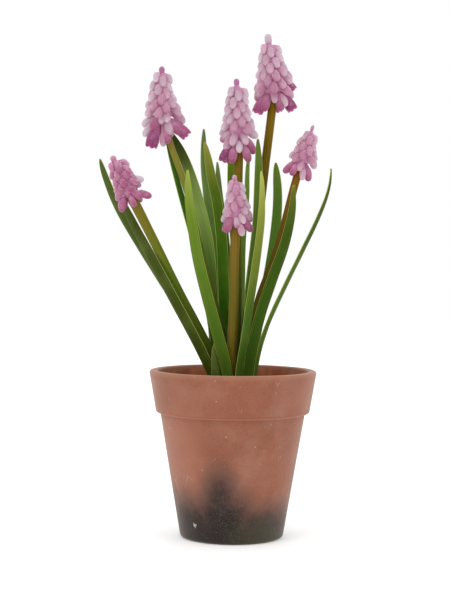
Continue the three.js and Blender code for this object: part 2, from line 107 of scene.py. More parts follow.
def weld(piece, reach=1e-6):
    # points closer than the reach become one, and every face looks outward
    only(piece)
    mode("EDIT")
    bpy.ops.mesh.select_all(action="SELECT")
    bpy.ops.mesh.remove_doubles(threshold=reach)
    bpy.ops.mesh.normals_make_consistent(inside=False)
    mode("OBJECT")
    bpy.ops.object.shade_smooth()


def finishPiece(piece, name, nodes, materials):
    piece.name = piece.data.name = name
    piece.data.materials.clear()
    for material in materials:
        piece.data.materials.append(material)
    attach(piece, "root")
    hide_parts(*nodes)


def turnedPiece(profile, sides, centre=(0, 0), loop=False):
    # rings extruded one after another from a circle; profile holds (radius, height)
    radius, height = profile[0]
    piece = added(
        bpy.ops.mesh.primitive_circle_add, vertices=sides, radius=radius,
        fill_type="NOTHING", location=(*centre, height),
    )
    mode("EDIT")
    bpy.ops.mesh.select_all(action="SELECT")
    if not loop:
        bpy.ops.mesh.edge_face_add()
    for nextRadius, nextHeight in profile[1:]:
        rise, grow = nextHeight - height, nextRadius / radius
        bpy.ops.mesh.extrude_region_move(TRANSFORM_OT_translate={"value": (0, 0, rise)})
        bpy.ops.transform.resize(value=(grow, grow, 1), center_override=(*centre, nextHeight))
        radius, height = nextRadius, nextHeight
    mode("OBJECT")
    weld(piece)
    return piece


def numbersFrom(seed):
    # the same repeatable numbers between 0 and 1 that place the solids' florets
    size = 2**32
    while True:
        seed = (seed * 1664525 + 1013904223) % size
        yield seed / size


class Route:
    # a smooth line through points in millimetres from the pot's axis, read by its length
    perSpan = 48

    def __init__(self, points):
        knots = [Vector(p) * mm + potAxis for p in points]
        knots = [2 * knots[0] - knots[1], *knots, 2 * knots[-1] - knots[-2]]
        self.places = [knots[1]]
        for a, b, c, d in zip(knots, knots[1:], knots[2:], knots[3:]):
            before, span, after = [(q - p).length ** 0.5 for p, q in ((a, b), (b, c), (c, d))]
            leave = (b - a) / before - (c - a) / (before + span) + (c - b) / span
            arrive = (c - b) / span - (d - b) / (span + after) + (d - c) / after
            for i in range(1, self.perSpan + 1):
                t = i / self.perSpan
                cubic = (2 * b - 2 * c + (leave + arrive) * span) * t**3
                square = (3 * c - 3 * b - (2 * leave + arrive) * span) * t**2
                self.places.append(cubic + square + leave * span * t + b)
        self.lengths = [0.0]
        for p, q in zip(self.places, self.places[1:]):
            self.lengths.append(self.lengths[-1] + (q - p).length)

    def at(self, along):
        # the place and the direction at a share of the length
        goal = clamp(along, 0, 1) * self.lengths[-1]
        low, high = 0, len(self.lengths) - 1
        while high - low > 1:
            middle = (low + high) // 2
            low, high = (middle, high) if self.lengths[middle] <= goal else (low, middle)
        share = (goal - self.lengths[low]) / (self.lengths[high] - self.lengths[low])
        place = self.places[low].lerp(self.places[high], share)
        first, last = max(low - 1, 0), min(high + 1, len(self.places) - 1)
        return place, (self.places[last] - self.places[first]).normalized()


def crowded(height, crowding):
    # the share of a route's length for a height from 0 to 1, closer together near the end
    return 1 - (1 - clamp(height, 0, 1)) ** crowding


def bendAlong(piece, route, faces=(0, 0), crowding=1.0):
    # bends an upright piece, 0 to 1 high, onto a route; its y points out of the hollow face
    for vertex in piece.data.vertices:
        x, y, z = vertex.co
        along = crowded(z, crowding)
        place, tangent = route.at(along)
        bearing = math.radians(lerp(*faces, along))
        across = Vector((math.cos(bearing), math.sin(bearing), 0)).cross(tangent).normalized()
        out = tangent.cross(across).normalized()
        vertex.co = place + across * x + out * y
    piece.data.update()


class Finish:
    # a procedural material, coloured in layers over a colour or over the piece's own tint
    def __init__(self, name, colour, roughness, specular, sheen=0.0, sheenTint="ffffff"):
        self.material = bpy.data.materials.new(name)
        self.material.use_nodes = True
        self.tree = self.material.node_tree
        self.shader = self.tree.nodes["Principled BSDF"]
        self.colour = colour or self.own("tint", "Color")
        self.give({"Roughness": roughness, "Specular IOR Level": specular})
        self.give({"Sheen Weight": sheen, "Sheen Tint": sheenTint})
        coordinates = self.tree.nodes.new("ShaderNodeTexCoord").outputs
        self.place, self.flat = coordinates["Object"], coordinates["UV"]

    def join(self, value, socket):
        if isinstance(value, bpy.types.NodeSocket):
            self.tree.links.new(value, socket)
        else:
            socket.default_value = tone(value) if isinstance(value, str) else value

    def give(self, values):
        for name, value in values.items():
            self.join(value, self.shader.inputs[name])

    def node(self, kind, output, inputs, **settings):
        # one output of a new node with these inputs and settings
        made = self.tree.nodes.new(f"ShaderNode{kind}")
        for name, value in settings.items():
            setattr(made, name, value)
        for name, value in inputs.items():
            self.join(value, made.inputs[name])
        return made.outputs[output]

    def shift(self, source=None, stretch=(1, 1, 1), move=(0, 0, 0), turn=(0, 0, 0)):
        inputs = {"Vector": source or self.place, "Location": move, "Rotation": turn}
        return self.node("Mapping", "Vector", inputs | {"Scale": stretch})

    def shifted(self, shifts):
        return self.shift(**shifts) if shifts else self.place

    def cloud(self, fineness, detail=3.0, rough=0.55, warp=0.0, **shifts):
        inputs = {"Vector": self.shifted(shifts), "Scale": fineness}
        inputs |= {"Detail": detail, "Roughness": rough, "Distortion": warp}
        return self.node("TexNoise", "Fac", inputs)

    def cells(self, fineness, feature="F1", **shifts):
        inputs = {"Vector": self.shifted(shifts), "Scale": fineness}
        return self.node("TexVoronoi", "Distance", inputs, feature=feature)

    def ball(self, centre, size):
        # 1 at a place in millimetres from the pot's axis, fading to 0 at the half sizes
        moved = self.shift(move=[-c * mm - a for c, a in zip(centre, potAxis)])
        scaled = self.shift(moved, stretch=[1 / (s * mm) for s in size])
        return self.node("TexGradient", "Fac", {"Vector": scaled}, gradient_type="SPHERICAL")

    def ramp(self, source, low, high, fromValue=0.0, toValue=1.0, kind="SMOOTHSTEP"):
        inputs = {"Value": source, "From Min": low, "From Max": high}
        inputs |= {"To Min": fromValue, "To Max": toValue}
        return self.node("MapRange", "Result", inputs, interpolation_type=kind)

    def work(self, operation, *values):
        return self.node("Math", 0, dict(enumerate(values)), operation=operation)

    def times(self, first, second):
        return self.work("MULTIPLY", first, second)

    def mix(self, share, first, second, way="MIX"):
        inputs = {"Factor": share, "A": first, "B": second}
        return self.node("Mix", "Result", inputs, data_type="RGBA", blend_type=way)

    def axis(self, name, source=None):
        return self.node("SeparateXYZ", name, {"Vector": source or self.place})

    def own(self, name, output="Fac"):
        return self.node("Attribute", output, {}, attribute_name=name)

    def layer(self, share, colour, way="MIX"):
        self.colour = self.mix(share, self.colour, colour, way)

    def coat(self, mask, low, high, colour, most=1.0):
        # a layer that comes in as the mask goes from low to high
        self.layer(self.ramp(mask, low, high, 0, most), colour)

    def finished(self, relief, depth, strength):
        inputs = {"Strength": strength, "Distance": depth, "Height": relief}
        self.give({"Base Color": self.colour, "Normal": self.node("Bump", "Normal", inputs)})
        return self.material


camera = {
    "place": (-4.65, -807.8, 150.0),
    "sensor": 36,
    "lens": 90.1,
    "roll": 0.53,
    # the level line through the lens lies above the middle of the picture
    "shift": (-0.0007, -0.0719),
    "clip": (0.01, 20),
}


def makeCamera():
    bpy.ops.object.camera_add()
    eye = bpy.context.object
    eye.name = "camera"
    eye.data.sensor_width = camera["sensor"]
    eye.data.lens = camera["lens"]
    eye.data.shift_x, eye.data.shift_y = camera["shift"]
    eye.data.clip_start, eye.data.clip_end = camera["clip"]
    stand = Matrix.Translation(Vector(camera["place"]) * mm + potAxis)
    level = Matrix.Rotation(math.radians(90), 4, "X")
    eye.matrix_world = stand @ level @ Matrix.Rotation(math.radians(camera["roll"]), 4, "Z")
    scene.camera = eye
    print("camera set")


studio = {
    "white": "ffffff",
    "roomStrength": 1.0,
    "floorGlow": 0.12,
    "floorSize": 6.0,
    # name, place, aimed at, size and power of each soft light
    "lights": (
        ("keyLight", (-0.9, -1.1, 1.3), (0, 0, 0.13), 0.9, 5.0),
        ("fillLight", (1.1, -0.9, 0.8), (0, 0, 0.12), 0.9, 2.5),
        ("backLight", (0.1, 1.2, 1.1), (0, 0, 0.15), 1.0, 2.5),
    ),
}


def makeStudio():
    world = bpy.data.worlds.new("paleRoom")
    scene.world = world
    world.use_nodes = True
    background = world.node_tree.nodes["Background"]
    background.inputs["Color"].default_value = tone(studio["white"])
    background.inputs["Strength"].default_value = studio["roomStrength"]
    scene.view_settings.view_transform = "Standard"
    for name, place, aim, size, power in studio["lights"]:
        bpy.ops.object.light_add(type="AREA", location=place)
        lamp = bpy.context.object
        lamp.name = name
        lamp.data.size = size
        lamp.data.energy = power
        lamp.rotation_euler = (Vector(aim) - Vector(place)).to_track_quat("-Z", "Y").to_euler()
    floor = added(bpy.ops.mesh.primitive_plane_add, size=studio["floorSize"])
    floor.name = "floor"
    pale = Finish("paleFloor", studio["white"], 0.9, 0.1)
    glow = {"Emission Color": pale.colour, "Emission Strength": studio["floorGlow"]}
    pale.give({"Base Color": pale.colour} | glow)
    floor.data.materials.append(pale.material)
    print("lights and floor set")


# Pot: a rolled band over a tapered body, with a drain hole. Millimetres.
pot = {
    "sides": 112,
    "height": 89.3, "rim": 45, "band": 23, "bandFoot": 41.5, "bodyTop": 38.7, "foot": 28,
    "footRound": 2.3, "neckRound": 1.1, "bandRound": 1.5, "lipRound": 1.4,
    "wall": 4.8, "innerStep": 1.6, "floor": 6, "drain": 5.5,
    # how far the wall waves, and how long the waves are
    "uneven": 0.3,
    "waves": 35,
    "clay": ("8e5a45", "82503b", "996650"),
    "grain": ("5a3325", "e0ab90"),
    "bloom": "b79a8c",
    # the pale of the painted light on the front-left
    "paintedLeftLight": "a8705a",
    "specks": "c9b3a0",
    "scratches": "bf9f88",
    "lip": "9e6c52",
    "shelfPaintedShade": "8a3c1e",
    "soot": ("181412", "64463c"),
    "moss": "45422e",
    "ash": "8d807a",
    "chip": "b7ada4",
    "damp": ("a05233", "bb6d47", "6b3a26"),
    # heights between which the lip turns pale, outside and inside, and of the line of painted
    # shade under the band
    "lipPale": (86.2, 88.4),
    "lipPaleInside": (85.5, 88.0),
    "paintedShadeHeight": 66.8,
    # marks on the clay: centre from the pot's axis, and half sizes
    "marks": {
        # the first is painted light on the front-left
        "paintedLeftLight": ((-29, -27, 50), (24, 30, 34)),
        "scuffed": ((20, -34, 50), (17, 17, 18)),
        "mossy": ((16, -24, 4), (26, 20, 17)),
        "ashy": ((-1, -30, 18), (12, 20, 20)),
        "chip": ((-19.5, -22.2, 9.2), (1.1, 3, 1.9)),
    },
    # smoke: centre and half sizes, how far in it is full and how black it is there
    "smoke": (
        ((-6.7, -31, 21), (17.5, 32, 35), 0.95, 0.88),
        ((-5.5, -29, 10), (32, 30, 33), 0.9, 1),
        ((12, 30, 12), (26, 30, 32), 0.85, 0.9),
        # smoke, and painted shade darkening the right side
        ((38, -4, 20), (14, 20, 52), 0.85, 0.6),
        ((-34, 6, 10), (16, 24, 26), 0.85, 0.6),
    ),
}
shelf = pot["height"] - pot["band"]


def insideRadius(height):
    # the pot's inner wall
    neck = pot["bodyTop"] - pot["wall"]
    if height > shelf:
        share = (height - shelf) / pot["band"]
        return lerp(neck + pot["innerStep"], pot["rim"] - pot["wall"], share)
    share = (height - pot["floor"]) / (shelf - pot["floor"])
    return lerp(pot["foot"] - pot["wall"] + 1, neck, share)


def arc(across, up, radius, start, stop, steps):
    # points on a circle about a centre, between two angles
    angles = [math.radians(lerp(start, stop, i / steps)) for i in range(steps + 1)]
    return [(across + radius * math.cos(a), up + radius * math.sin(a)) for a in angles]


def line(start, stop, steps):
    # the points between two others
    return [blend(start, stop, i / steps) for i in range(1, steps)]


def potProfile():
    footRound, lipRound = pot["footRound"], pot["lipRound"]
    neckRound, bandRound = pot["neckRound"], pot["bandRound"]
    rim, inner, lipHeight = pot["rim"], pot["rim"] - pot["wall"], pot["height"] - lipRound
    profile = [(pot["drain"], 0.0), (pot["foot"] * 0.5, 0.0)]
    profile += arc(pot["foot"] - footRound, footRound, footRound, -90, -9, 6)
    profile += line(profile[-1], (pot["bodyTop"], shelf - 1), 14)
    profile += arc(pot["bodyTop"] + neckRound, shelf - 1, neckRound, 180, 110, 4)
    profile += arc(pot["bandFoot"] - bandRound, shelf + 1.7, bandRound, -80, 8, 6)
    profile += line(profile[-1], (rim, lipHeight), 6)
    profile += arc(rim - lipRound, lipHeight, lipRound, 4, 90, 5)
    profile += arc(inner + lipRound, lipHeight, lipRound, 90, 176, 5)
    for height in (80, 74, 68, shelf + 1, shelf - 2, 56, 44, 32, 20, 12, pot["floor"]):
        profile.append((insideRadius(height), height))
    profile += [(pot["drain"] * 2, pot["floor"]), (pot["drain"], pot["floor"])]
    return [(radius * mm, height * mm) for radius, height in profile]


def clayFinish():
    light, deep, warm = pot["clay"]
    clay = Finish("terracottaClay", light, 0.9, 0.25, 0.4, "f2e0d6")
    marks = {name: clay.ball(*mark) for name, mark in pot["marks"].items()}
    height = clay.axis("Z")
    clay.coat(clay.cloud(38, 4, 0.6, 0.4), 0.35, 0.7, deep)
    clay.coat(clay.cloud(70, 5, 0.65, move=(0.3, 0.1, 0)), 0.5, 0.75, warm, 0.6)
    grain = clay.cloud(1400, 2, 0.6)
    clay.layer(0.22, clay.mix(clay.ramp(grain, 0.3, 0.7), *pot["grain"]), "SOFT_LIGHT")

    # dusty lime bloom in drifts, painted light paling the front-left, and small pale specks
    clay.coat(clay.cloud(42, 3, 0.5, move=(0.07, 0.2, 0.4)), 0.4, 0.85, pot["bloom"], 0.2)
    # painted light: a soft pale patch on the front-left, where the key light falls
    clay.coat(marks["paintedLeftLight"], 0, 0.8, pot["paintedLeftLight"], 0.45)
    ragged = clay.ramp(clay.cloud(1100, 3, 0.7), 0.3, 0.7, -0.09, 0.09)
    specks = clay.ramp(clay.work("ADD", clay.cells(340), ragged), 0.14, 0.05)
    chosen = clay.ramp(clay.cloud(130, 2, move=(0.5, 0, 0)), 0.56, 0.64)
    clay.layer(clay.times(clay.times(specks, chosen), 0.55), pot["specks"])

    # hairline scratches: a few straight edges of stretched cells, broken up by a cloud
    tilted = {"stretch": (1, 1, 0.6), "turn": (0.3, 0.7, 0.2)}
    long = clay.ramp(clay.cells(75, "DISTANCE_TO_EDGE", **tilted), 0.012, 0.002)
    broken = clay.ramp(clay.cloud(95, 3, move=(0.2, 0.6, 0.1)), 0.58, 0.66)
    fine = clay.ramp(clay.cells(170, "DISTANCE_TO_EDGE", **tilted), 0.02, 0.004)
    scuffs = clay.times(fine, clay.ramp(marks["scuffed"], 0.1, 0.6, 0, 0.7))
    kept = clay.ramp(clay.cloud(260, 3, move=(0.1, 0.3, 0.8)), 0.5, 0.6)
    scratches = clay.work("MAXIMUM", clay.times(long, broken), clay.times(scuffs, kept))
    clay.layer(clay.times(scratches, 0.4), pot["scratches"])
    low, high = pot["lipPale"]
    clay.coat(height, low * mm, high * mm, pot["lip"], 0.55)
    step = clay.work("ABSOLUTE", clay.work("SUBTRACT", height, pot["paintedShadeHeight"] * mm))
    # painted shade: a dark line under the band's foot, toning down the light it catches from below
    clay.coat(step, 0.0014, 0.0003, pot["shelfPaintedShade"], 0.45)

    # kiln smoke climbing from the foot, higher in one soft plume at the front, and smoke with
    # painted shade up the right side
    wavy = clay.ramp(clay.cloud(48, 3, 0.5), 0.3, 0.7, -0.003, 0.004, "LINEAR")
    level = clay.work("SUBTRACT", height, wavy)
    lean = clay.ramp(clay.axis("X"), potAxis.x - 0.024, potAxis.x + 0.012, 0.004, -0.003)
    smoke = clay.ramp(clay.work("SUBTRACT", level, lean), 0.034, 0.004)
    for centre, size, full, most in pot["smoke"]:
        plume = clay.ramp(clay.ball(centre, size), 0, full, 0, most)
        smoke = clay.work("MAXIMUM", smoke, plume)
    smoke = clay.times(smoke, clay.ramp(clay.cloud(190, 5, 0.7), 0.2, 0.8, 0.85, 1.1))
    black, brown = pot["soot"]
    clay.coat(smoke, 0, 0.5, brown, 0.8)
    clay.coat(smoke, 0.3, 1, black, 0.97)
    clay.coat(marks["mossy"], 0, 0.8, pot["moss"], 0.5)
    ash = clay.times(clay.ramp(clay.cloud(1700, 2, 0.6), 0.5, 0.75, 0, 0.3), smoke)
    clay.layer(clay.times(ash, clay.ramp(marks["ashy"], 0, 0.6, 0.35, 1)), pot["ash"])

    # one small chip low on the front
    frayed = clay.ramp(clay.cloud(900, 2), 0.3, 0.7, -0.25, 0.25)
    chipped = clay.ramp(clay.work("ADD", marks["chip"], frayed), 0.22, 0.42)
    clay.layer(clay.times(chipped, 0.8), pot["chip"])
    relief = clay.work("MULTIPLY_ADD", grain, 0.6, clay.cloud(420, 4, 0.6))
    hollows = clay.work("ADD", scratches, clay.times(chipped, 1.5))
    return clay.finished(clay.work("SUBTRACT", relief, hollows), 0.00016, 0.8)


def dampFinish():
    # the inner wall, darker with water, with pale runs down it
    deep, light, stain = pot["damp"]
    clay = Finish("dampClay", deep, 0.8, 0.3)
    clay.coat(clay.cloud(160, 4, 0.6, stretch=(1, 1, 0.12)), 0.4, 0.7, light)
    clay.coat(clay.cloud(60, 4), 0.45, 0.7, stain, 0.35)
    ragged = clay.ramp(clay.cloud(90, 3), 0.3, 0.7, -0.001, 0.001)
    low, high = pot["lipPaleInside"]
    clay.coat(clay.work("ADD", clay.axis("Z"), ragged), low * mm, high * mm, pot["lip"], 0.8)
    return clay.finished(clay.cloud(500, 4, 0.65), 0.0003, 0.7)


def makePot():
    piece = turnedPiece(potProfile(), pot["sides"], potAxis.xy, loop=True)
    mode("EDIT")
    bpy.ops.mesh.select_all(action="DESELECT")
    bpy.ops.mesh.select_mode(type="EDGE")
    bpy.ops.mesh.select_non_manifold()
    bpy.ops.mesh.bridge_edge_loops()
    mode("OBJECT")
    weld(piece)
    finishPiece(piece, "flowerPot", ["pot"], [clayFinish(), dampFinish()])
    low, high = pot["floor"] * mm * 0.9, (pot["height"] - pot["lipRound"]) * mm
    for face in piece.data.polygons:
        reach = (face.center.xy - potAxis.xy).length
        wall = (insideRadius(face.center.z / mm) + 1) * mm
        if reach < wall and low < face.center.z < high:
            face.material_index = 1
    cloud = bpy.data.textures.new("handThrown", "CLOUDS")
    cloud.noise_scale = pot["waves"] * mm
    uneven = piece.modifiers.new("uneven", "DISPLACE")
    uneven.texture = cloud
    uneven.texture_coords = "LOCAL"
    uneven.mid_level = 0.8
    uneven.strength = pot["uneven"] * mm
    applyAll(piece)
    print("pot turned:", len(piece.data.polygons), "faces")


# Soil: a crumbly top inside the pot. Millimetres.
soil = {
    "level": 74, "gap": 0.3, "sides": 90, "ringStep": 1.6,
    # the top over the level, and the height and fineness of its swells and crumbs
    "lift": 0.3,
    "waves": ((1.5, 0.07), (0.9, 0.32), (0.4, 0.9)),
    "clods": 520,
    "clodSize": (0.5, 1.7),
    "clodLengths": (1, 1, 1, 1.6, 2.4),
    "clodEdge": 1.2,
    "pale": 0.05,
    "earth": ("241812", "3d2a1d", "5c4330"),
    "grit": "cfc6b4",
}


def soilHeight(x, y):
    # millimetres above the foot of the pot, at a place in metres
    spot = Vector((x, y, 0.0)) * 1000
    swells = sum(height * noise.noise(spot * fineness) for height, fineness in soil["waves"])
    return soil["level"] + soil["lift"] + swells


def soilFinish():
    dark, middle, light = soil["earth"]
    earth = Finish("pottingSoil", dark, 0.95, 0.15)
    earth.coat(earth.cloud(260, 6, 0.7), 0.35, 0.65, middle)
    fibres = earth.cloud(700, 3, stretch=(1, 0.25, 1), turn=(0, 0, 0.6))
    earth.coat(fibres, 0.58, 0.72, light, 0.6)
    kind = earth.own("grit")
    earth.coat(kind, 0.1, 0.8, light, 0.55)
    earth.coat(kind, 0.95, 0.98, soil["grit"])
    return earth.finished(earth.cloud(900, 5, 0.7), 0.0005, 0.9)


def makeSoil():
    gap, level, bottom = soil["gap"], soil["level"], pot["floor"] + soil["gap"]
    edge = insideRadius(level - 1) - gap
    profile = [(3.0, bottom), (insideRadius(bottom) - gap, bottom)]
    profile += [(insideRadius(shelf - 2) - gap, shelf - 2), (edge, level - 1)]
    rings = int(edge / soil["ringStep"])
    profile += [(lerp(edge - 0.6, 0.8, i / rings), level) for i in range(rings + 1)]
    bed = turnedPiece([(r * mm, z * mm) for r, z in profile], soil["sides"], potAxis.xy)
    for vertex in bed.data.vertices:
        if vertex.co.z > (level - 0.5) * mm:
            vertex.co.z = soilHeight(vertex.co.x, vertex.co.y) * mm
    bed.data.attributes.new("grit", "FLOAT", "POINT")

    draw = random.Random(7)
    clod = added(bpy.ops.mesh.primitive_ico_sphere_add, subdivisions=1, radius=1)
    for vertex in clod.data.vertices:
        vertex.co *= 1 + 0.35 * noise.noise(vertex.co * 2.3)
    scattered = [bed]
    for _ in range(soil["clods"]):
        reach = (edge - soil["clodEdge"]) * mm * math.sqrt(draw.random())
        bearing = draw.uniform(0, math.tau)
        x, y = potAxis.x + reach * math.cos(bearing), potAxis.y + reach * math.sin(bearing)
        size = lerp(*soil["clodSize"], draw.random() ** 3) * mm
        long = draw.choice(soil["clodLengths"])
        copy = twin(clod)
        spin = Matrix.Rotation(draw.uniform(0, math.tau), 4, "Z")
        tip = Matrix.Rotation(draw.uniform(-0.5, 0.5), 4, "Y")
        sized = Matrix.Diagonal((size * long, size / math.sqrt(long), size * 0.75, 1))
        seat = Matrix.Translation((x, y, soilHeight(x, y) * mm + size * 0.2))
        copy.data.transform(seat @ spin @ tip @ sized)
        kind = draw.random()
        value = 1.0 if kind < soil["pale"] else 0.9 * draw.random()
        grit = copy.data.attributes.new("grit", "FLOAT", "POINT")
        grit.data.foreach_set("value", [value] * len(copy.data.vertices))
        scattered.append(copy)
    bpy.data.objects.remove(clod)
    only(*scattered)
    bpy.ops.object.join()
    bpy.ops.object.shade_smooth_by_angle(angle=math.radians(50))
    finishPiece(bed, "soilBed", ["soil"], [soilFinish()])
    print("soil filled:", len(bed.data.polygons), "faces")


# Bulbs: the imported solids, in a papery skin. Tones of its grooves, ribs and husk.
bulb = {"skin": ("a98457", "d9c39a", "6e4b2c")}


def dressBulbs():
    groove, rib, husk = bulb["skin"]
    skin = Finish("bulbSkin", groove, 0.6, 0.35)
    ribs = skin.cloud(420, 4, 0.6, stretch=(1, 1, 0.08))
    skin.coat(ribs, 0.35, 0.65, rib)
    skin.coat(skin.cloud(150, 4), 0.5, 0.65, husk, 0.7)
    papery = skin.finished(ribs, 0.0003, 0.6)
    for name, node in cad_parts.items():
        if name.startswith("bulb"):
            node.data.materials.clear()
            node.data.materials.append(papery)
    print("bulbs dressed")


